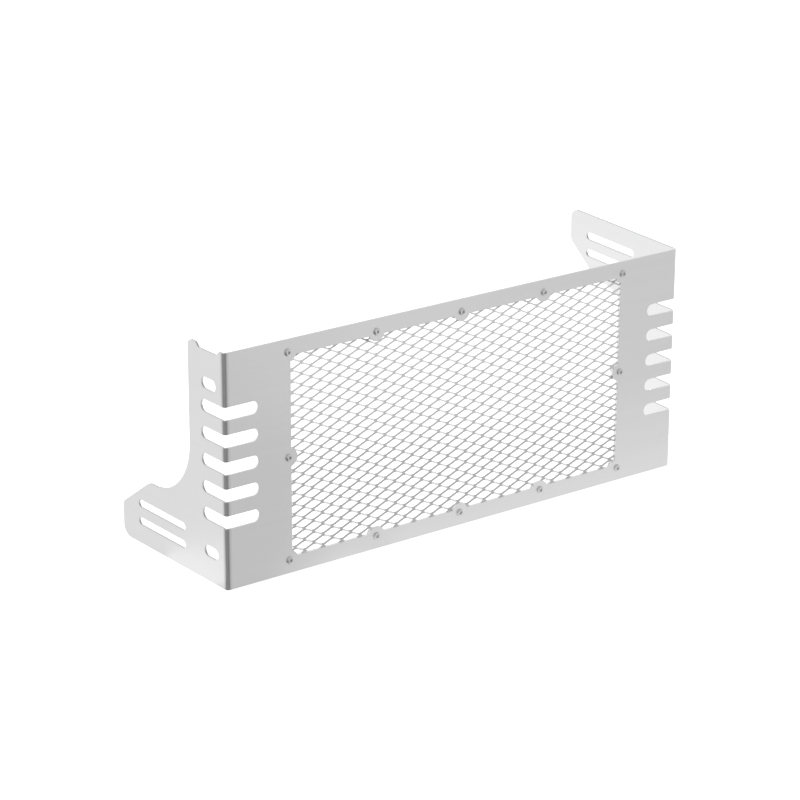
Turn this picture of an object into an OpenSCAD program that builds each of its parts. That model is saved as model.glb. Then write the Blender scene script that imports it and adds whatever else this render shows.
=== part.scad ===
// Radiator guard for a motorcycle: one folded stainless sheet that wraps the
// radiator's front and both sides, with an expanded metal panel screwed behind
// its window. Millimetres, +Z up, front face towards -Y. The origin is the
// bottom centre of the whole guard.

/* [Front plate] */
// Outside width of the front plate, fold to fold
plate_w = 400; // [380:0.5:440]
// Height of the folded sheet
plate_h = 172; // [166:0.5:200]
// Thickness of the sheet
sheet_t = 1.5; // [1:0.1:2.5]
// Inside radius of the two folds
bend_r = 1; // [0.5:0.1:3]
// How far each wing opens out past a square fold, in degrees
wing_flare = 2.2; // [0:0.1:5]

/* [Window] */
// Solid front between a fold and the window
side_margin = 54; // [50:0.5:62]
// Solid rim above and below the window
rim_h = 12; // [10:0.5:16]
// Radius of the round lug that carries each screw
lug_r = 7; // [6.5:0.1:9]

/* [Side slots] */
// Number of slots that wrap round each fold
slot_count = 5; // [3:1:5]
// Height of one slot
slot_h = 9.4; // [6:0.1:12]
// Distance from slot to slot
slot_pitch = 19.7; // [15:0.1:20.5]
// How far a slot reaches from the fold, on the front and on the wing
slot_reach = 27.5; // [18:0.5:30]
// Height of the middle of the slots above the middle of the plate
slot_rise = 3.3; // [0:0.1:4]

/* [Wing outline] */
// Depth of a wing at its tail
wing_depth = 127.5; // [118:0.5:150]
// Depth of the upright part of a wing
column_depth = 42; // [38:0.5:48]
// Height of the tail
tail_h = 49.8; // [44:0.2:56]
// Height of the tail at its rear edge
tail_rear_h = 25.2; // [18:0.2:30]
// Fall of the tail towards its rear edge, in degrees
tail_slope = 35.8; // [25:0.2:45]
// Radius of the sweep between the upright part and the tail
sweep_r = 46.5; // [20:0.5:60]
// Radius of the tail's lower rear corner
tail_low_r = 8; // [3:0.5:12]
// Radius of the tail's upper rear corner
tail_high_r = 6; // [2:0.5:9]
// Radius of the knee where the tail starts to fall
knee_r = 10; // [4:0.5:16]
// Radius of the upright part's outer rear corner
column_r = 5; // [2:0.5:7]
// Depth of the dished notch in the wing's short edge
dish_depth = 3.4; // [1.5:0.1:6]
// Land between the fold and the notch
dish_front_land = 5.5; // [4:0.5:8]
// Land between the notch and the upright part's rear edge
dish_rear_land = 9.5; // [7.5:0.5:14]
// Length of the notch's sloping ends
dish_run = 3; // [2:0.5:5]
// Radius of the notch's corners
dish_r = 2.2; // [1:0.1:3]

/* [Wing holes] */
// Length of an oval mounting hole
oval_l = 16.5; // [12:0.5:18]
// Height of an oval mounting hole
oval_h = 8.6; // [6:0.1:10]
// Distance of the oval holes' centres behind the front face
oval_setback = 18; // [16:0.5:22]
// Height of the oval hole near the tail above that edge
oval_tail_inset = 22.4; // [18:0.2:28]
// Distance of the other oval hole from the opposite edge
oval_dish_inset = 26.7; // [20:0.1:28]

/* [Tail openings] */
// Length of a round-ended opening in the tail
vent_l = 58; // [40:1:64]
// Height of a round-ended opening in the tail
vent_h = 6; // [4:0.5:9]
// Distance between the two openings in the tail
vent_pitch = 13.5; // [11:0.5:16]
// Height of the lower opening's middle above the tail's edge
vent_inset = 17; // [13:0.5:18]
// Distance of the openings' rear ends from the tail's rear edge
vent_rear = 20; // [18:0.5:26]

/* [Expanded mesh] */
// Length of one diamond along the panel
mesh_pitch_x = 15.8; // [12:0.1:24]
// Height of one diamond
mesh_pitch_z = 8.2; // [6:0.1:12]
// Width of a strand across its run
strand_w = 1.1; // [0.8:0.05:1.8]
// Thickness of each of the two crossing sets of strands
strand_t = 0.75; // [0.5:0.05:1.2]
// Sideways place of a crossing from the middle of the panel
mesh_shift_x = -1.5; // [-8:0.1:8]
// Height of a crossing from the middle of the panel
mesh_shift_z = -2.5; // [-4:0.1:4]
// How far the panel's solid border stays behind the window's edge
border_hide = 0.5; // [0.4:0.1:1.5]
// Land of the panel's border outside the screws
border_land = 5.5; // [5:0.1:7]

/* [Screws] */
// Screws along the top and the bottom
screw_columns = 5; // [3:1:6]
// Diameter of the screw
screw_d = 4; // [3:0.1:4.6]
// Distance of the top and bottom screws from the plate's edge
screw_inset = 9.6; // [8.5:0.1:11]
// Distance of the end screws outside the window's side
screw_outset = 2; // [1:0.1:4]
// Diameter of the button head
head_d = 7.6; // [7:0.1:9]
// Height of the button head
head_h = 2.2; // [1.8:0.1:3]
// Height of the button head's rim
head_rim = 0.35; // [0.2:0.05:0.6]
// Diameter of the flat on top of the button head
head_flat_d = 3.6; // [3:0.1:4.5]
// Width across the flats of the hexagon socket
socket_af = 2.5; // [2:0.1:3]
// Depth of the hexagon socket
socket_depth = 1.3; // [0.8:0.1:1.5]
// Screw end left beyond the nut
screw_tip = 1; // [0.5:0.1:3]
// Chamfer on the screw's end
screw_chamfer = 0.4; // [0.2:0.05:0.5]
// Room round the screw in the sheet, the panel and the washer
hole_clearance = 0.2; // [0.1:0.05:0.4]
// Room round the screw in the nut, in place of the thread
thread_clearance = 0.05; // [0.02:0.01:0.1]
// Outside diameter of the washer
washer_d = 9; // [8:0.1:10]
// Thickness of the washer
washer_t = 0.8; // [0.5:0.1:1.2]
// Width across the flats of the nut
nut_af = 7; // [6.5:0.1:8]
// Height of the nut
nut_h = 3.2; // [2.4:0.1:4]
// Drop of the chamfer on the nut's outer corners
nut_chamfer = 0.4; // [0.2:0.05:0.6]

/* [Hidden] */
$fn = 64;
steel = [0.80, 0.81, 0.82];
bright_steel = [0.86, 0.87, 0.88];
zinc = [0.72, 0.73, 0.75];

// How far a cutter runs past what it cuts
over = 1;

// How much a corner's arc is let out, so that it crosses its sides cleanly
ease = 0.002;

// Size of the window and the middle of the plate
window_w = plate_w - 2 * side_margin;
window_h = plate_h - 2 * rim_h;
mid_z = plate_h / 2;

// The grid of screws: columns along the top and bottom, and one at each side
screw_x = window_w / 2 + screw_outset;
screw_z = plate_h / 2 - screw_inset;
column_gap = 2 * screw_x / (screw_columns - 1);
column_places = [for (i = [0 : screw_columns - 1]) -screw_x + i * column_gap];
SCREWS = concat(
    [for (x = column_places) [x, mid_z + screw_z]],
    [for (x = [-screw_x, screw_x]) [x, mid_z]],
    [for (x = column_places) [x, mid_z - screw_z]]);

// Depths of the stack behind the front face
mesh_t = 2 * strand_t;
mesh_y = sheet_t;
washer_y = mesh_y + mesh_t;
nut_y = washer_y + washer_t;
screw_len = nut_y + nut_h + screw_tip;
hole_d = screw_d + 2 * hole_clearance;

// Wing geometry
wing_y = wing_depth * cos(wing_flare) + sheet_t * sin(wing_flare);
fold_r = bend_r + sheet_t;
knee_depth = wing_depth - (tail_h - tail_rear_h) / tan(tail_slope);
knee_run = knee_r * tan(tail_slope / 2);
sweep_room = min(knee_depth - knee_run - column_depth, plate_h - tail_h - column_r);
sweep_fit = min(sweep_r, sweep_room - over);

// The front face's place, so that the guard is centred front to back
front_y = (head_h - wing_y) / 2;

// Direction from a to b
function toward(a, b) = (b - a) / norm(b - a);

// Positive where the outline turns left at p
function turn(a, p, b) = cross(p - a, b - p);

// The sliver between a corner and the circle that rounds it
module corner_sliver(a, p, b, r) {
    u = toward(p, a);
    v = toward(p, b);
    half = acos(u * v) / 2;
    centre = p + toward([0, 0], u + v) * r / sin(half);
    grow = (r + over) / r;
    run = r / tan(half);
    difference() {
        polygon([for (q = [p + u * run, p, p + v * run, centre]) centre + (q - centre) * grow]);
        translate(centre) circle(r + ease);
    }
}

// A polygon of [x, y, radius] corners, listed anticlockwise, with true round corners
module rounded_outline(corners) {
    n = len(corners);
    place = [for (c = corners) [c.x, c.y]];
    rounded = [for (i = [0 : n - 1]) if (corners[i].z > 0) i];
    difference() {
        union() {
            polygon(place);
            for (i = rounded)
                if (turn(place[(i + n - 1) % n], place[i], place[(i + 1) % n]) < 0)
                    corner_sliver(place[(i + n - 1) % n], place[i], place[(i + 1) % n], corners[i].z);
        }
        for (i = rounded)
            if (turn(place[(i + n - 1) % n], place[i], place[(i + 1) % n]) > 0)
                corner_sliver(place[(i + n - 1) % n], place[i], place[(i + 1) % n], corners[i].z);
    }
}

// A round-ended slot along X, centred
module round_slot(length, height) {
    straight = length - height;
    square([straight, height], center = true);
    for (x = [-straight / 2, straight / 2]) translate([x, 0]) circle(d = height);
}

// Places children from plate coordinates, front face at y = 0, into the frame
module in_frame() {
    translate([0, front_y, 0]) children();
}

// The same children turned half round about the plate's middle, for the other wing
module opposite() {
    translate([0, 0, mid_z]) rotate([0, 180, 0]) translate([0, 0, -mid_z]) children();
}

// Stands a flat shape up in the front plane and runs it back from y0 by depth
module upright(y0, depth) {
    translate([0, y0 + depth, 0]) rotate([90, 0, 0]) linear_extrude(depth) children();
}

// Stands a flat shape of depth and height up in the left wing, through the sheet
module through_wing() {
    translate([-plate_w / 2, 0, 0]) rotate([0, 0, 90 + wing_flare]) rotate([90, 0, 0])
        linear_extrude(2 * (sheet_t + over), center = true) children();
}

// The sheet seen from above, as wide as the folds and open at the back
module fold_section() {
    reach = wing_depth + over;
    way = [sin(wing_flare), cos(wing_flare)];
    inner_x = plate_w / 2 - sheet_t * tan(45 - wing_flare / 2);
    difference() {
        rounded_outline([
            [-plate_w / 2 - reach * way.x, reach * way.y, 0],
            [-plate_w / 2, 0, fold_r],
            [plate_w / 2, 0, fold_r],
            [plate_w / 2 + reach * way.x, reach * way.y, 0]]);
        rounded_outline([
            [-inner_x - (reach + over) * way.x, sheet_t + (reach + over) * way.y, 0],
            [-inner_x, sheet_t, bend_r],
            [inner_x, sheet_t, bend_r],
            [inner_x + (reach + over) * way.x, sheet_t + (reach + over) * way.y, 0]]);
    }
}

// Outline of the left wing, as depth from the fold and height
module wing_outline() {
    dish_start = dish_front_land;
    dish_end = column_depth - dish_rear_land;
    rounded_outline([
        [0, 0, 0],
        [wing_depth, 0, tail_low_r],
        [wing_depth, tail_rear_h, tail_high_r],
        [knee_depth, tail_h, knee_r],
        [column_depth, tail_h, sweep_fit],
        [column_depth, plate_h, column_r],
        [dish_end, plate_h, dish_r],
        [dish_end - dish_run, plate_h - dish_depth, dish_r],
        [dish_start + dish_run, plate_h - dish_depth, dish_r],
        [dish_start, plate_h, dish_r],
        [0, plate_h, 0]]);
}

// The window, with a lug left at every screw
module window_opening() {
    difference() {
        translate([0, mid_z]) square([window_w, window_h], center = true);
        for (s = SCREWS) translate(s) circle(lug_r);
    }
}

// The two oval mounting holes and the two openings in the left wing's tail
module wing_holes() {
    for (z = [oval_tail_inset, plate_h - oval_dish_inset])
        translate([oval_setback, z]) round_slot(oval_l, oval_h);
    for (i = [0, 1])
        translate([wing_depth - vent_rear - vent_l / 2, vent_inset + i * vent_pitch])
            round_slot(vent_l, vent_h);
}

// The slots that wrap round the left fold: one band each, and a round end on either side
module fold_slots() {
    run = slot_reach - slot_h / 2;
    back = [-sin(wing_flare), cos(wing_flare)];
    inward = [cos(wing_flare), sin(wing_flare)];
    for (i = [0 : slot_count - 1]) {
        z = mid_z + slot_rise + (i - (slot_count - 1) / 2) * slot_pitch;
        translate([-plate_w / 2, 0, z - slot_h / 2]) linear_extrude(slot_h) polygon([
            [run, -over],
            [run, sheet_t + over],
            [sheet_t + over, sheet_t + over],
            back * run + inward * (sheet_t + over),
            back * run - inward * over,
            [-over, -over]]);
        upright(-over, sheet_t + 2 * over)
            translate([run - plate_w / 2, z]) circle(d = slot_h + 2 * ease);
        through_wing()
            translate([run, z]) circle(d = slot_h + 2 * ease);
    }
}

// The folded sheet: plate, folds and both wings in one piece
module guard_plate() {
    color(steel) in_frame() difference() {
        intersection() {
            linear_extrude(plate_h) fold_section();
            union() {
                translate([-plate_w / 2 - over, -over, 0]) cube([plate_w + 2 * over, fold_r + over, plate_h]);
                through_wing() wing_outline();
                opposite() through_wing() wing_outline();
            }
        }
        upright(-over, sheet_t + 2 * over) window_opening();
        upright(-over, sheet_t + 2 * over) for (s = SCREWS) translate(s) circle(d = hole_d);
        fold_slots();
        mirror([1, 0, 0]) fold_slots();
        through_wing() wing_holes();
        opposite() through_wing() wing_holes();
    }
}

// Parallel strands that slope one way through the crossings of the mesh
module strands(lean) {
    angle = lean * atan(mesh_pitch_z / mesh_pitch_x);
    run = norm([window_w, window_h]) + mesh_pitch_x;
    count = ceil((window_w / mesh_pitch_x + window_h / mesh_pitch_z) / 2) + 1;
    for (i = [-count : count])
        translate([mesh_shift_x, mid_z + mesh_shift_z + i * mesh_pitch_z])
            rotate(angle) square([run, strand_w], center = true);
}

// One of the mesh panel's two layers: a border with eight-sided tabs, and strands that lean one way
module mesh_layer(lean) {
    border = 2 * [screw_x + border_land, screw_z + border_land];
    opening = [window_w, window_h] + 2 * [border_hide, border_hide];
    difference() {
        translate([0, mid_z]) square(border, center = true);
        difference() {
            translate([0, mid_z]) square(opening, center = true);
            for (s = SCREWS) translate(s) rotate(22.5) circle(lug_r - border_hide, $fn = 8);
            strands(lean);
        }
        for (s = SCREWS) translate(s) circle(d = hole_d);
    }
}

// The expanded metal panel behind the window
module mesh_panel() {
    color(bright_steel) in_frame() {
        upright(mesh_y, strand_t) mesh_layer(1);
        upright(mesh_y + strand_t, strand_t) mesh_layer(-1);
    }
}

// Places children, drawn along +Z, on a screw's axis with +Z running into the guard
module on_screw(i, y) {
    in_frame() translate([SCREWS[i].x, y, SCREWS[i].y]) rotate([-90, 0, 0]) children();
}

// A button-head screw with a hexagon socket
module screw(i) {
    dome_h = head_h - head_rim;
    dome_z = ((head_d ^ 2 - head_flat_d ^ 2) / 4 / dome_h - head_h - head_rim) / 2;
    dome_r = norm([head_d / 2, dome_z + head_rim]);
    color(zinc) on_screw(i, 0) {
        difference() {
            rotate_extrude() intersection() {
                translate([0, -head_h]) square([head_d / 2, head_h]);
                translate([0, dome_z]) circle(dome_r);
            }
            translate([0, 0, -head_h - over])
                cylinder(h = socket_depth + over, d = socket_af / cos(30), $fn = 6);
        }
        rotate_extrude() polygon([
            [0, -head_rim],
            [screw_d / 2, -head_rim],
            [screw_d / 2, screw_len - screw_chamfer],
            [screw_d / 2 - screw_chamfer, screw_len],
            [0, screw_len]]);
    }
}

// The flat washer under a nut
module washer(i) {
    color(zinc) on_screw(i, washer_y) difference() {
        cylinder(h = washer_t, d = washer_d);
        translate([0, 0, -over]) cylinder(h = washer_t + 2 * over, d = hole_d);
    }
}

// A plain hexagon nut with its corners turned down at the outer face
module nut(i) {
    corner_d = nut_af / cos(30);
    color(zinc) on_screw(i, nut_y) difference() {
        intersection() {
            cylinder(h = nut_h, d = corner_d, $fn = 6);
            rotate_extrude() polygon([
                [0, 0],
                [corner_d / 2, 0],
                [corner_d / 2, nut_h - nut_chamfer],
                [nut_af / 2, nut_h],
                [0, nut_h]]);
        }
        translate([0, 0, -over]) cylinder(h = nut_h + 2 * over, d = screw_d + 2 * thread_clearance);
    }
}

guard_plate();
mesh_panel();
for (i = [0 : len(SCREWS) - 1]) {
    screw(i);
    washer(i);
    nut(i);
}
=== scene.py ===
import math

import bpy
from mathutils import Euler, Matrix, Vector


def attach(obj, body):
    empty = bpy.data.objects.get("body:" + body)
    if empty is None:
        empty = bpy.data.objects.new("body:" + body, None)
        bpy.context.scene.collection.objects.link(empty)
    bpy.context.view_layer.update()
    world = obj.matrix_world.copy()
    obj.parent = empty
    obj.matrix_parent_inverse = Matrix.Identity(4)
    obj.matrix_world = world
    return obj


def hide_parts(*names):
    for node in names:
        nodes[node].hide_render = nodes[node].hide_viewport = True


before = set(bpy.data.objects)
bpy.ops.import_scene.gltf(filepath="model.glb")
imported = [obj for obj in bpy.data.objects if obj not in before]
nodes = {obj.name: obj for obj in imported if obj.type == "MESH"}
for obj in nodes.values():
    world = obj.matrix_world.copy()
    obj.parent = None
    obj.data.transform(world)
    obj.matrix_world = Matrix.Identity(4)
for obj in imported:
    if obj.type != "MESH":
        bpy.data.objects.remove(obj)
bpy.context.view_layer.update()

# The camera, at the place fitted to the photograph
cam_data = bpy.data.cameras.new("camera")
cam_data.sensor_width = 36.0
cam_data.lens = 131.405
cam_data.clip_start = 0.05
cam_data.clip_end = 40.0
camera = bpy.data.objects.new("camera", cam_data)
camera.location = (-1.187512, -1.604051, 0.821825)
camera.rotation_euler = Euler([math.radians(a) for a in (69.534188, -0.24933, -36.235176)], "XYZ")
bpy.context.collection.objects.link(camera)
bpy.context.scene.camera = camera
bpy.context.scene.view_settings.view_transform = "Standard"

MM_PER_M = 1000.0
# Place of the front face in the frame, in millimetres
FRONT_Y = -62.6318


def grey(level):
    return (level, level, level, 1.0)


WHITE, BLACK = grey(1.0), grey(0.0)


class Graph:
    """A short way to write a node tree."""

    def __init__(self, tree):
        self.tree = tree
        tree.nodes.clear()

    def add(self, kind, inputs=None, **settings):
        node = self.tree.nodes.new(kind)
        for key, value in settings.items():
            setattr(node, key, value)
        for key, value in (inputs or {}).items():
            if isinstance(value, bpy.types.NodeSocket):
                self.tree.links.new(value, node.inputs[key])
            else:
                node.inputs[key].default_value = value
        return node

    def split(self, vector):
        """The X, Y and Z of a vector."""
        return self.add("ShaderNodeSeparateXYZ", {0: vector}).outputs

    def noise(self, vector, scale, detail=2.0, roughness=0.5):
        return self.add("ShaderNodeTexNoise", {"Vector": vector, "Scale": scale, "Detail": detail,
                                               "Roughness": roughness}).outputs["Fac"]

    def stretch(self, vector, scale):
        return self.add("ShaderNodeMapping", {"Vector": vector, "Scale": scale}).outputs["Vector"]

    def level(self, value, low, high, start=0.3, end=0.7):
        """From low to high while value goes from start to end."""
        return self.add("ShaderNodeMapRange", {"Value": value, "From Min": start, "From Max": end,
                                               "To Min": low, "To Max": high}).outputs["Result"]

    def math(self, kind, a, b):
        return self.add("ShaderNodeMath", {0: a, 1: b}, operation=kind).outputs[0]

    def tint(self, value, low, high):
        return self.add("ShaderNodeMix", {"Factor": value, 6: low, 7: high}, data_type="RGBA").outputs[2]

    def ramp(self, value, stops):
        """A grey scale over value, from (place, level) stops."""
        node = self.add("ShaderNodeValToRGB", {"Fac": value})
        points = node.color_ramp.elements
        while len(points) < len(stops):
            points.new(0.5)
        for point, (place, level) in zip(points, stops):
            point.position = place
            point.color = grey(level)
        return node.outputs["Color"]

    def metal(self, colour, roughness, height, normal, strength, distance):
        """A bare metal surface with fine relief."""
        bump = self.add("ShaderNodeBump", {"Strength": strength, "Distance": distance, "Height": height,
                                           "Normal": normal})
        shader = self.add("ShaderNodeBsdfPrincipled", {"Base Color": colour, "Metallic": 1.0,
                                                       "Roughness": roughness,
                                                       "Normal": bump.outputs["Normal"]})
        self.add("ShaderNodeOutputMaterial", {"Surface": shader.outputs["BSDF"]})


def new_material(name):
    material = bpy.data.materials.new(name)
    material.use_nodes = True
    return material, Graph(material.node_tree)


# How far behind the front face the wings' flat part begins, in millimetres
WING_START = 3.0
# Painted shade on the wings' cut faces that face up, as a darker tint, and how far it eases in along the wing, in
# millimetres
CUT_PAINTED_SHADE = (0.48, 0.48, 0.49, 1.0)
CUT_EASE = 0.1


def cut_face_painted_shade(g, place, normal):
    """Painted shade mask: above 0 on the wings' cut faces, in holes and notches, where they face up; less on
    level ones.
    """
    way = g.split(normal)
    behind = g.level(g.split(place)["Y"], 0.0, 1.0, start=(FRONT_Y + WING_START - CUT_EASE) / MM_PER_M,
                     end=(FRONT_Y + WING_START + CUT_EASE) / MM_PER_M)
    off_wing = g.level(g.math("ABSOLUTE", way["X"], 0.0), 1.0, 0.0, start=0.75, end=0.85)
    rising = g.level(way["Z"], 0.0, 1.0, start=0.0, end=0.45)
    level_ones = g.level(way["Z"], 1.0, 0.7, start=0.85, end=0.97)
    upward = g.math("MULTIPLY", rising, level_ones)
    return g.math("MULTIPLY", g.math("MULTIPLY", behind, off_wing), upward)


# Painted shade at the left fold, standing in for the dark band that the fold mirrors, as (place, factor) stops.
# The first goes across the plate, over these distances off the middle in metres; the second goes along the wing,
# over this depth in millimetres, and takes hold over the last pair of distances off the middle.
FOLD_ACROSS = ((0.0, 1.0), (0.125, 1.0), (0.225, 0.95), (0.32, 0.88), (0.41, 0.75), (0.49, 0.63),
               (0.57, 0.83), (0.64, 1.0))
FOLD_SIDE = (0.194, 0.202)
FOLD_BEHIND = ((0.10, 1.0), (0.163, 0.86), (0.253, 0.74), (0.39, 0.72), (0.56, 0.88), (0.725, 1.0))
FOLD_DEPTH = 6.0
FOLD_BLEND = (0.1965, 0.1972)


def fold_painted_shade(g, place):
    """A grey factor of painted shade that is below 1 near the left fold."""
    at = g.split(place)
    aside = g.math("MULTIPLY", at["X"], -1.0)
    across = g.ramp(g.level(aside, 0.0, 1.0, *FOLD_SIDE), FOLD_ACROSS)
    depth = g.level(at["Y"], 0.0, 1.0, start=FRONT_Y / MM_PER_M, end=(FRONT_Y + FOLD_DEPTH) / MM_PER_M)
    behind = g.tint(g.level(aside, 0.0, 1.0, *FOLD_BLEND), WHITE, g.ramp(depth, FOLD_BEHIND))
    return g.math("MULTIPLY", across, behind)


# Painted shade on the mesh, darker from its top right corner to its foot, as (place, factor) stops over a height
# in metres that also rises a little to the right
MESH_PAINTED_SHADE = ((0.10, 0.74), (0.34, 0.76), (0.47, 0.86), (0.60, 0.925), (0.75, 0.957), (1.0, 1.0))
FADE_HEIGHT, FADE_SLANT = 0.16, 0.17
# The strands that fall to the right are mostly spared the painted shade. Their normals turn right by this much.
SPARED = 0.9
TURNED_RIGHT = (0.1, 0.3)


def mesh_painted_shade(g, place, normal):
    """A grey factor of painted shade that falls towards the mesh's lower left, not where a strand faces right."""
    at = g.split(place)
    height = g.math("ADD", at["Z"], g.math("MULTIPLY", at["X"], FADE_SLANT))
    fade = g.ramp(g.level(height, 0.0, 1.0, start=0.0, end=FADE_HEIGHT), MESH_PAINTED_SHADE)
    return g.tint(g.level(g.split(normal)["X"], 0.0, SPARED, *TURNED_RIGHT), fade, WHITE)


# Radius of the rounded edges in metres, and how far their painted highlight goes to a paler tone
EDGE_RADIUS = 0.00025
EDGE_HIGHLIGHT_SHARE = 0.35


def brushed_steel(name, dark, pale, rough, grain=(6.0, 6.0, 1400.0), cut=False):
    """Stainless steel with a long fine grain and soft cloudy patches, with painted highlights on its edges and
    painted shade on upward cut faces, at the left fold and over the mesh.
    """
    material, g = new_material(name)
    place = g.add("ShaderNodeTexCoord").outputs["Object"]
    coarse = (grain[0] * 0.6, grain[1] * 0.6, grain[2] * 0.12)
    lines = g.noise(g.stretch(place, grain), 1.0, detail=3.0, roughness=0.65)
    broad = g.noise(g.stretch(place, coarse), 1.0, detail=2.0, roughness=0.5)
    cloud = g.noise(place, 14.0, detail=3.0, roughness=0.55)
    tone = g.math("ADD", g.math("MULTIPLY", lines, 0.5), g.math("MULTIPLY", broad, 0.25))
    tone = g.math("ADD", tone, g.math("MULTIPLY", cloud, 0.25))
    colour = g.tint(g.level(tone, 0.0, 1.0, start=0.32, end=0.68), (*dark, 1.0), (*pale, 1.0))
    edge_normal = g.add("ShaderNodeBevel", {"Radius": EDGE_RADIUS}, samples=4).outputs["Normal"]
    flat = g.add("ShaderNodeNewGeometry").outputs["Normal"]
    turned = g.add("ShaderNodeVectorMath", {0: edge_normal, 1: flat}, operation="DOT_PRODUCT").outputs["Value"]
    # Painted highlight: a paler tone where the rounded edge turns away from the flat face.
    edge_highlight = g.level(turned, 1.0, 0.0, start=0.90, end=0.999)
    colour = g.tint(g.math("MULTIPLY", edge_highlight, EDGE_HIGHLIGHT_SHARE), colour, grey(0.90))
    # The sheet gets painted shade on its upward cut faces and at its left fold; the mesh gets painted shade
    # towards its lower left.
    if cut:
        colour = g.tint(cut_face_painted_shade(g, place, flat), colour, CUT_PAINTED_SHADE)
        factor = fold_painted_shade(g, place)
    else:
        factor = mesh_painted_shade(g, place, flat)
    colour = g.tint(factor, BLACK, colour)
    streaks = g.math("ADD", g.math("MULTIPLY", lines, 0.6), g.math("MULTIPLY", cloud, 0.4))
    g.metal(colour, g.level(streaks, *rough), lines, edge_normal, strength=0.35, distance=0.00002)
    return material


# Painted shade in the sockets and corners, where walls stand close: its tint, and how far a wall may stand off to
# cast it, in metres
OCCLUSION_PAINTED_SHADE = grey(0.16)
OCCLUSION_REACH = 0.0009


def turned_steel(name, dark, pale, rough):
    """Small turned or stamped steel: fine speckle, no direction, with painted shade in sockets and corners."""
    material, g = new_material(name)
    place = g.add("ShaderNodeTexCoord").outputs["Object"]
    speck = g.noise(place, 1800.0, detail=2.0, roughness=0.6)
    cloud = g.noise(place, 220.0, detail=2.0, roughness=0.5)
    tone = g.math("MULTIPLY", g.math("ADD", speck, cloud), 0.5)
    colour = g.tint(g.level(tone, 0.0, 1.0), (*dark, 1.0), (*pale, 1.0))
    # Painted shade: darker where ambient occlusion finds walls close by.
    open_air = g.add("ShaderNodeAmbientOcclusion", {"Distance": OCCLUSION_REACH}, samples=8).outputs["AO"]
    colour = g.tint(g.level(open_air, 0.0, 1.0, start=0.2, end=0.6), OCCLUSION_PAINTED_SHADE, colour)
    edge_normal = g.add("ShaderNodeBevel", {"Radius": 0.00015}, samples=4).outputs["Normal"]
    g.metal(colour, g.level(speck, *rough), speck, edge_normal, strength=0.2, distance=0.00001)
    return material


sheet = brushed_steel("sheet_brushed_steel", (0.78, 0.78, 0.78), (0.82, 0.82, 0.82), (0.34, 0.43), cut=True)
mesh = brushed_steel("mesh_steel", (0.87, 0.87, 0.88), (0.95, 0.95, 0.96), (0.30, 0.42),
                     grain=(300.0, 300.0, 900.0))
screw = turned_steel("screw_steel", (0.64, 0.64, 0.65), (0.74, 0.74, 0.75), (0.18, 0.26))
washer = turned_steel("washer_steel", (0.60, 0.60, 0.61), (0.70, 0.70, 0.71), (0.30, 0.42))
nut = turned_steel("nut_steel", (0.56, 0.56, 0.57), (0.66, 0.66, 0.67), (0.26, 0.38))

finish_of = {"guard": sheet, "mesh": mesh, "screw": screw, "washer": washer, "nut": nut}
for name, obj in nodes.items():
    for material_slot in obj.material_slots:
        material_slot.material = finish_of[name.split("_")[0]]

# The expanded mesh, in millimetres from the front face and from the bottom edge
PLATE_H = 172.0
MID_Z = PLATE_H / 2.0
SCREW_X, SCREW_Z = 148.0, 76.4
# Half sizes of the border's opening and of its outer edge, and the reach of its tabs round the screws
OPENING = (146.5, 74.5)
BORDER = (SCREW_X + 5.5, SCREW_Z + 5.5)
TAB_R = 6.5
PANEL_FRONT, PANEL_BACK = 1.5, 3.0
PANEL_MIDDLE = (PANEL_FRONT + PANEL_BACK) / 2.0
# A diamond's width and height, and the place of one of the knots
PITCH_X, PITCH_Z = 15.8, 8.2
KNOT_X, KNOT_Z = -0.68, MID_Z - 3.4
# Sideways lean of the rows, as a slope, and how far the middle sags back
LEAN, BOW = -0.0112, 2.76
STRAND_W, STRAND_T, STRAND_TILT = 1.42, 0.45, math.radians(32.0)
# Half length of a knot, and half the length over which a strand bends away from it
KNOT_HALF, KNOT_BEND = 1.1, 0.3
# How far the strands run in under the border, at the sides and above and below
HIDDEN_X, HIDDEN_Z = 2.5, 4.5


def part_point(x, y, z):
    """A point of the guard, given in mm from the front face, in the row frame."""
    return (x / MM_PER_M, (y + FRONT_Y) / MM_PER_M, z / MM_PER_M)


def opening_loop():
    """The border's inner edge: a rectangle with half an octagon at every screw, anticlockwise."""
    far, near = TAB_R * math.cos(math.pi / 8), TAB_R * math.sin(math.pi / 8)
    loop = []
    for turn in range(4):
        walk = Vector(((1, 0), (0, 1), (-1, 0), (0, -1))[turn])
        inward = Vector((-walk.y, walk.x))
        long_side = turn % 2 == 0
        half_run, half_off = (SCREW_X, SCREW_Z) if long_side else (SCREW_Z, SCREW_X)
        lift = half_off - OPENING[1 - turn % 2]
        next_lift = half_run - OPENING[turn % 2]
        tab = ((-far, lift), (-far, near), (-near, far), (near, far), (far, near), (far, lift))
        corner = tab[:3] + ((-next_lift, far),)
        stops = [(place, tab) for place in ((-0.5, 0.0, 0.5) if long_side else (0.0,))] + [(1.0, corner)]
        for place, outline in stops:
            centre = walk * half_run * place - inward * half_off
            loop += [centre + walk * along + inward * off for along, off in outline]
    return loop


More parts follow.
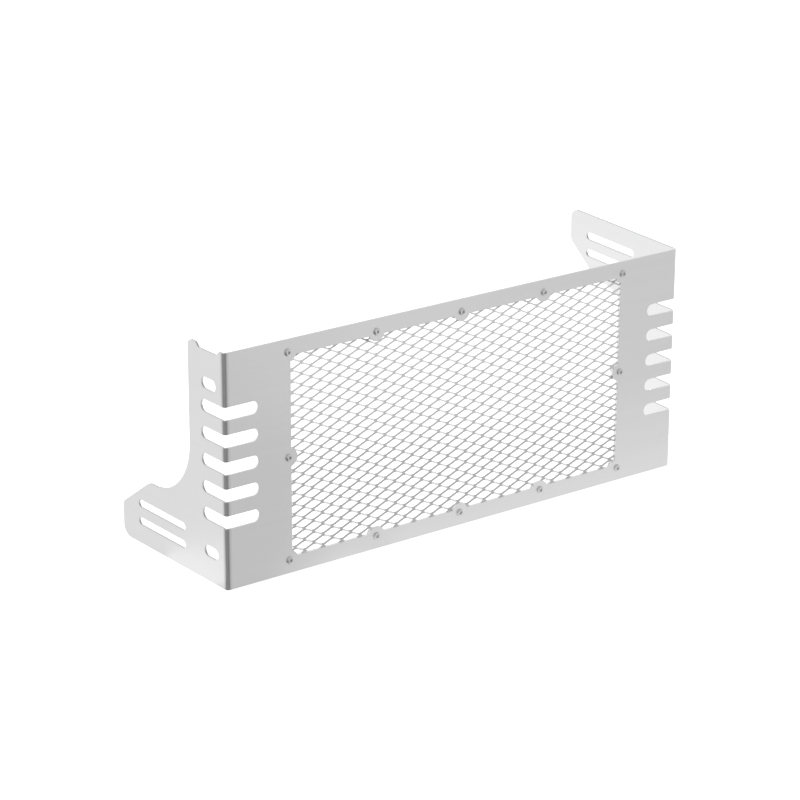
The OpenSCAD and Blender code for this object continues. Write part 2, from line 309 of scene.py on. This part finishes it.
def border_mesh():
    """The panel's solid border, filled between its outer edge and its inner edge."""
    curve = bpy.data.curves.new("border", "CURVE")
    curve.dimensions = "2D"
    curve.fill_mode = "BOTH"
    curve.extrude = (PANEL_BACK - PANEL_FRONT) / 2.0
    outer = [Vector((sx * BORDER[0], sz * BORDER[1])) for sx, sz in ((-1, -1), (1, -1), (1, 1), (-1, 1))]
    for loop in (outer, opening_loop()):
        spline = curve.splines.new("POLY")
        spline.points.add(len(loop) - 1)
        for point, place in zip(spline.points, loop):
            point.co = (place.x, place.y, 0.0, 1.0)
        spline.use_cyclic_u = True
    shape = bpy.data.objects.new("border", curve)
    flat = bpy.data.meshes.new_from_object(shape)
    bpy.data.objects.remove(shape)
    verts = [part_point(v.co.x, PANEL_MIDDLE - v.co.z, MID_Z + v.co.y) for v in flat.vertices]
    faces = [tuple(f.vertices) for f in flat.polygons]
    return verts, faces


def bowed(point):
    """The stretched panel is not quite square or flat: it leans sideways and sags back inside its border."""
    off = Vector((point.x / OPENING[0], (point.z - MID_Z) / OPENING[1]))
    sag = BOW * max(0.0, 1.0 - off.x ** 2) * max(0.0, 1.0 - off.y ** 2)
    return point + Vector((LEAN * (point.z - MID_Z), sag, 0.0))


def strand_ribbons():
    """Zigzag ribbons of slit and stretched sheet: each row touches the next at the knots."""
    half_x, half_z = PITCH_X / 2.0, PITCH_Z / 2.0
    across = Vector((0.0, math.sin(STRAND_TILT), math.cos(STRAND_TILT)))
    through = Vector((0.0, -math.cos(STRAND_TILT), math.sin(STRAND_TILT)))
    end = OPENING[0] + HIDDEN_X
    steps = (0.0, KNOT_HALF - KNOT_BEND, KNOT_HALF + KNOT_BEND, half_x / 2.0,
             half_x - KNOT_HALF - KNOT_BEND, half_x - KNOT_HALF + KNOT_BEND)
    first = math.floor((-end - KNOT_X) / half_x)
    last = math.ceil((end - KNOT_X) / half_x)
    places = sorted({round(KNOT_X + m * half_x + d, 4) for m in range(first, last) for d in steps})
    places = [-end] + [x for x in places if -end < x < end] + [end]
    low_row = math.ceil((MID_Z - OPENING[1] - HIDDEN_Z - KNOT_Z) / half_z)
    high_row = math.floor((MID_Z + OPENING[1] + HIDDEN_Z - KNOT_Z) / half_z)
    verts, faces = [], []
    for row in range(low_row, high_row):
        base = len(verts)
        for x in places:
            m = math.floor((x - KNOT_X) / half_x + 1e-6)
            along = (x - KNOT_X - m * half_x - KNOT_HALF) / (half_x - 2.0 * KNOT_HALF)
            along = min(max(along, 0.0), 1.0)
            rise = along if (m + row) % 2 == 0 else 1.0 - along
            shift = across * (STRAND_W / 2.0) * (1.0 - 2.0 * rise)
            centre = Vector((x, PANEL_MIDDLE, KNOT_Z + row * half_z + rise * half_z)) + shift
            for a, b in ((-1, -1), (1, -1), (1, 1), (-1, 1)):
                p = centre + across * (a * STRAND_W / 2.0) + through * (b * STRAND_T / 2.0)
                verts.append(part_point(*bowed(p)))
        for i in range(len(places) - 1):
            for k in range(4):
                a, b = base + 4 * i + k, base + 4 * i + (k + 1) % 4
                faces.append((a, b, b + 4, a + 4))
        faces.append((base, base + 3, base + 2, base + 1))
        top = base + 4 * (len(places) - 1)
        faces.append((top, top + 1, top + 2, top + 3))
    return verts, faces


def expanded_mesh():
    """The finer mesh panel: border and strands in one piece."""
    verts, faces = border_mesh()
    more_verts, more_faces = strand_ribbons()
    start = len(verts)
    faces = faces + [tuple(start + i for i in f) for f in more_faces]
    data = bpy.data.meshes.new("expanded_mesh")
    data.from_pydata(verts + more_verts, [], faces)
    data.validate()
    data.materials.append(mesh)
    obj = bpy.data.objects.new("expanded_mesh", data)
    bpy.context.collection.objects.link(obj)
    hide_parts("mesh_panel")
    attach(obj, "root")


expanded_mesh()

# The screws, in millimetres: y is 0 at the front face and runs back
ROW_X = [SCREW_X * k / 2.0 for k in range(-2, 3)]
SCREW_PLACES = ([(x, MID_Z + SCREW_Z) for x in ROW_X] + [(-SCREW_X, MID_Z), (SCREW_X, MID_Z)]
                + [(x, MID_Z - SCREW_Z) for x in ROW_X])
HEAD_R, HEAD_H, HEAD_RIM, SHOULDER_R = 2.7, 1.15, 0.25, 0.90
HEAD_EDGE = 0.08
SOCKET_AF, SOCKET_DEPTH = 2.25, 1.1
SOCKET_POINT, SOCKET_CHAMFER = 0.25, 0.12
SHANK_R, THREAD_DEPTH, THREAD_PITCH = 1.98, 0.38, 0.7
THREAD_START, SCREW_END, END_CHAMFER = 5.4, 8.0, 0.45
# Half width of the thread's groove, as a share of the pitch, and the length over which it starts
GROOVE_HALF, THREAD_RUN_IN = 0.4, 0.05
# The ring that closes a surface on the axis
TIP_R = 0.02
SEGMENTS, SHOULDER_STEPS, THREAD_STEPS = 48, 8, 30
# How much further each screw is turned than the one before, in radians
SCREW_TURN = 0.37
SMOOTH_BELOW = math.radians(35.0)


def socket_radius(angle):
    """Distance of the hexagon socket's wall from the axis."""
    return SOCKET_AF / 2.0 / math.cos((angle + math.pi / 6.0) % (math.pi / 3.0) - math.pi / 6.0)


def thread_radius(y, angle):
    """Radius of a helical thread, which fades out at the screw's end."""
    phase = (y / THREAD_PITCH - angle / (2.0 * math.pi)) % 1.0
    groove = max(0.0, 1.0 - abs(phase - 0.5) / GROOVE_HALF)
    return SHANK_R - THREAD_DEPTH * groove - max(0.0, y - SCREW_END + END_CHAMFER)


def screw_rings():
    """The screw from the bottom of its socket round to its end, as (y, radius at an angle) rings."""
    socket_floor = -HEAD_H + SOCKET_DEPTH
    rings = [(socket_floor + SOCKET_POINT, lambda a: TIP_R),
             (socket_floor, socket_radius),
             (-HEAD_H + SOCKET_CHAMFER, socket_radius),
             (-HEAD_H, lambda a: socket_radius(a) + SOCKET_CHAMFER)]
    for step in range(SHOULDER_STEPS + 1):
        bend = math.pi / 2.0 * step / SHOULDER_STEPS
        inset = SHOULDER_R * (1.0 - math.sin(bend))
        rings.append((-HEAD_RIM - SHOULDER_R * math.cos(bend), lambda a, inset=inset: HEAD_R - inset))
    rings += [(-HEAD_EDGE, lambda a: HEAD_R), (0.0, lambda a: HEAD_R - HEAD_EDGE), (0.0, lambda a: SHANK_R),
              (THREAD_START, lambda a: SHANK_R)]
    start = THREAD_START + THREAD_RUN_IN
    for step in range(THREAD_STEPS + 1):
        y = start + (SCREW_END - start) * step / THREAD_STEPS
        rings.append((y, lambda a, y=y: thread_radius(y, a)))
    rings.append((SCREW_END, lambda a: TIP_R))
    return rings


def build_screws():
    """Twelve button-head screws with a hexagon socket and a thread."""
    rings = screw_rings()
    angles = [2.0 * math.pi * k / SEGMENTS for k in range(SEGMENTS)]
    faces = []
    for i in range(len(rings) - 1):
        for k in range(SEGMENTS):
            a, b = i * SEGMENTS + k, i * SEGMENTS + (k + 1) % SEGMENTS
            faces.append((a, a + SEGMENTS, b + SEGMENTS, b))
    faces.append(tuple(range(SEGMENTS)))
    faces.append(tuple(range(len(rings) * SEGMENTS - 1, (len(rings) - 1) * SEGMENTS - 1, -1)))
    for number, (x, z) in enumerate(SCREW_PLACES, start=1):
        name = "screw_%d" % number
        turn = number * SCREW_TURN
        verts = [part_point(x + radius(a) * math.cos(a + turn), y, z + radius(a) * math.sin(a + turn))
                 for y, radius in rings for a in angles]
        data = bpy.data.meshes.new("button_" + name)
        data.from_pydata(verts, [], faces)
        data.materials.append(screw)
        obj = bpy.data.objects.new("button_" + name, data)
        bpy.context.collection.objects.link(obj)
        for polygon in data.polygons:
            polygon.use_smooth = True
        data.set_sharp_from_angle(angle=SMOOTH_BELOW)
        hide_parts(name)
        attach(obj, "root")


build_screws()

# Patches of the floor that glow only in the metal's reflections, as painted reflections with no lamp, given as
# (centre, half size)
# in metres: in front, beside, far in front and behind. Past their edges the metal mirrors the studio.
PATCHES = (((0.20, -0.04), (0.34, 0.14)), ((-0.22, -0.02), (0.035, 0.035)),
           ((0.16, -0.45), (0.15, 0.06)), ((0.03, 0.38), (0.25, 0.42)))
PATCH_EDGE = (0.90, 1.10)
# What they show, as (place, level) stops from the front to the back over these metres, and beside the left wing
FLOOR_SHEEN = ((0.0, 1.15), (0.30, 1.15), (0.70, 0.73), (0.89, 0.78), (1.0, 1.0))
SHEEN_SPAN = (-0.50, 0.02)
BESIDE_SHEEN = 0.91
SHEEN_STRENGTH = 1.2
FLOOR_GREY, FLOOR_GLOW = 0.55, 0.72
FLOOR_SIZE, FLOOR_Z = 24.0, -0.0002


def ellipse(g, place, centre, half):
    """Distance from an ellipse's centre on the floor: 1 on its edge."""
    spot = g.add("ShaderNodeMapping", {"Vector": place, "Scale": (1.0 / half[0], 1.0 / half[1], 1.0),
                                       "Location": (-centre[0] / half[0], -centre[1] / half[1], 0.0)})
    return g.add("ShaderNodeVectorMath", {0: spot.outputs["Vector"]}, operation="LENGTH").outputs["Value"]


def floor_material():
    """White floor that keeps a soft shadow; its patches glow as painted reflections in the metal, and past them
    the metal mirrors the studio.
    """
    material, g = new_material("floor_white")
    seen = g.add("ShaderNodeLightPath").outputs
    place = g.add("ShaderNodeTexCoord").outputs["Object"]
    mottle = g.level(g.noise(place, 3.0), 0.985, 1.0)
    glowing = g.math("MULTIPLY", g.math("MULTIPLY", seen["Is Camera Ray"], mottle), FLOOR_GLOW)
    diffuse = g.add("ShaderNodeBsdfDiffuse", {"Color": grey(FLOOR_GREY)})
    glow = g.add("ShaderNodeEmission", {"Color": WHITE, "Strength": glowing})
    both = g.add("ShaderNodeAddShader", {0: diffuse.outputs[0], 1: glow.outputs[0]})
    clear = g.add("ShaderNodeBsdfTransparent", {"Color": WHITE})
    front, beside, far, behind = [ellipse(g, place, *patch) for patch in PATCHES]
    reach = g.math("MINIMUM", g.math("MINIMUM", front, beside), g.math("MINIMUM", far, behind))
    sheen = g.ramp(g.level(g.split(place)["Y"], 0.0, 1.0, *SHEEN_SPAN), FLOOR_SHEEN)
    sheen = g.tint(g.level(beside, 1.0, 0.0, *PATCH_EDGE), sheen, grey(BESIDE_SHEEN))
    near = g.add("ShaderNodeEmission", {"Color": sheen, "Strength": SHEEN_STRENGTH})
    past = g.level(reach, 0.0, 1.0, *PATCH_EDGE)
    mirrored = g.add("ShaderNodeMixShader", {0: past, 1: near.outputs[0], 2: clear.outputs[0]})
    mix = g.add("ShaderNodeMixShader", {0: seen["Is Glossy Ray"], 1: both.outputs[0], 2: mirrored.outputs[0]})
    g.add("ShaderNodeOutputMaterial", {"Surface": mix.outputs[0]})
    return material


bpy.ops.mesh.primitive_plane_add(size=FLOOR_SIZE, location=(0.0, 0.0, FLOOR_Z))
floor = bpy.context.object
floor.name = "floor"
floor.data.materials.append(floor_material())

# The studio that the metal mirrors. Below the horizon it goes by compass direction, from behind over the left,
# the dark front and the pale right; above the horizon it goes from the dark front to the bright back.
AROUND = ((0.0, 0.76), (0.045, 1.0), (0.13, 1.0), (0.19, 0.38), (0.30, 0.25), (0.51, 0.25), (0.565, 0.42),
          (0.59, 0.88), (0.64, 0.78), (0.74, 0.84), (0.86, 0.72), (1.0, 0.76))
OVERHEAD = ((0.0, 0.62), (0.12, 0.62), (0.20, 0.55), (0.30, 0.76), (0.40, 0.88), (0.52, 0.97), (1.0, 1.0))
HORIZON = (-0.15, 0.10)

world = bpy.data.worlds.new("world")
bpy.context.scene.world = world
world.use_nodes = True
w = Graph(world.node_tree)
seen = w.add("ShaderNodeLightPath").outputs
way = w.split(w.add("ShaderNodeTexCoord").outputs["Generated"])
compass = w.math("ARCTAN2", way["X"], w.math("MULTIPLY", way["Y"], -1.0))
low = w.ramp(w.level(compass, 0.0, 1.0, start=-math.pi, end=math.pi), AROUND)
high = w.ramp(w.level(way["Y"], 0.0, 1.0, start=-1.0, end=1.0), OVERHEAD)
studio = w.tint(w.level(way["Z"], 0.0, 1.0, *HORIZON), low, high)
light = w.add("ShaderNodeBackground", {"Color": studio, "Strength": 1.0})
white = w.add("ShaderNodeBackground", {"Color": WHITE, "Strength": 1.0})
mix = w.add("ShaderNodeMixShader", {0: seen["Is Camera Ray"], 1: light.outputs[0], 2: white.outputs[0]})
w.add("ShaderNodeOutputWorld", {"Surface": mix.outputs[0]})


def area_lamp(name, place, aim, size, power):
    """A plain rectangular lamp that lights matt surfaces only."""
    data = bpy.data.lights.new(name, "AREA")
    data.shape = "RECTANGLE"
    data.size, data.size_y = size
    data.energy = power
    lamp = bpy.data.objects.new(name, data)
    lamp.location = place
    lamp.rotation_euler = (Vector(aim) - Vector(place)).to_track_quat("-Z", "Y").to_euler()
    lamp.visible_glossy = False
    bpy.context.collection.objects.link(lamp)


area_lamp("key", (-1.6, 1.2, 1.5), (0.0, 0.0, 0.08), (1.6, 1.2), 26.0)
area_lamp("top", (0.2, 0.2, 2.2), (0.0, 0.0, 0.0), (2.0, 2.0), 22.0)
area_lamp("fill", (1.6, -1.6, 1.0), (0.0, 0.0, 0.08), (1.4, 1.0), 8.0)
